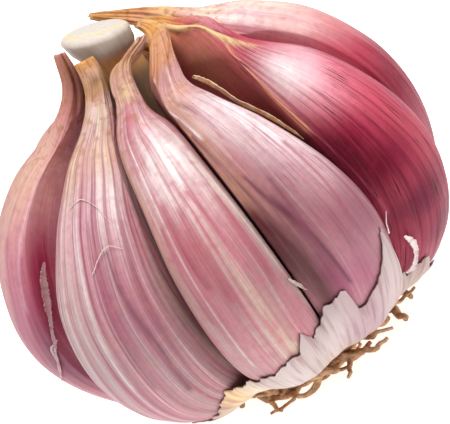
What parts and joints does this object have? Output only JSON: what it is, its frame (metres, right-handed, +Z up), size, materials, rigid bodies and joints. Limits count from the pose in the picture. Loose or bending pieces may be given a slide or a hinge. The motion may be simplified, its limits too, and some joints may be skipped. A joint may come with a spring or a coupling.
{
  "type": "garlic bulb",
  "caption": "Garlic bulb with its wrapper mostly peeled off: cloves in a ring round a cut dry stem, on a root plate with short dry roots.",
  "frame": {"origin": "middle of the small flat spot under the trimmed root plate, on the surface the bulb stands on", "axes": "+Z up the bulb's axis from the roots to the cut stem; -Y is the side with the torn wrapper's highest peaks"},
  "size_m": [0.0562, 0.0558, 0.0504],
  "materials": {
    "clove_skin": "satin papery clove skin, pale pink with rose and mauve stripes lengthwise",
    "clove_skin_dark": "satin papery clove skin, deep rose with dark stripes and a pale shoulder",
    "dry_stem": "dry plant stem, white on the cut and tan below",
    "roots": "dry brown curled roots",
    "wrapper_paper": "thin white to pinkish papery skin, torn at the edge",
    "tan_skin": "dry golden-brown papery skin"
  },
  "bodies": {
    "root": {"clove_01": "clove_skin", "clove_02": "clove_skin", "clove_03": "clove_skin", "clove_04": "clove_skin", "clove_05": "clove_skin_dark", "clove_06": "clove_skin_dark", "clove_07": "clove_skin_dark", "clove_08": "clove_skin", "clove_09": "clove_skin", "clove_10": "clove_skin", "clove_11": "clove_skin", "stem_with_root_plate": "dry_stem", "torn_wrapper": "wrapper_paper", "groove_skin": "tan_skin"}
  },
  "joints": []
}
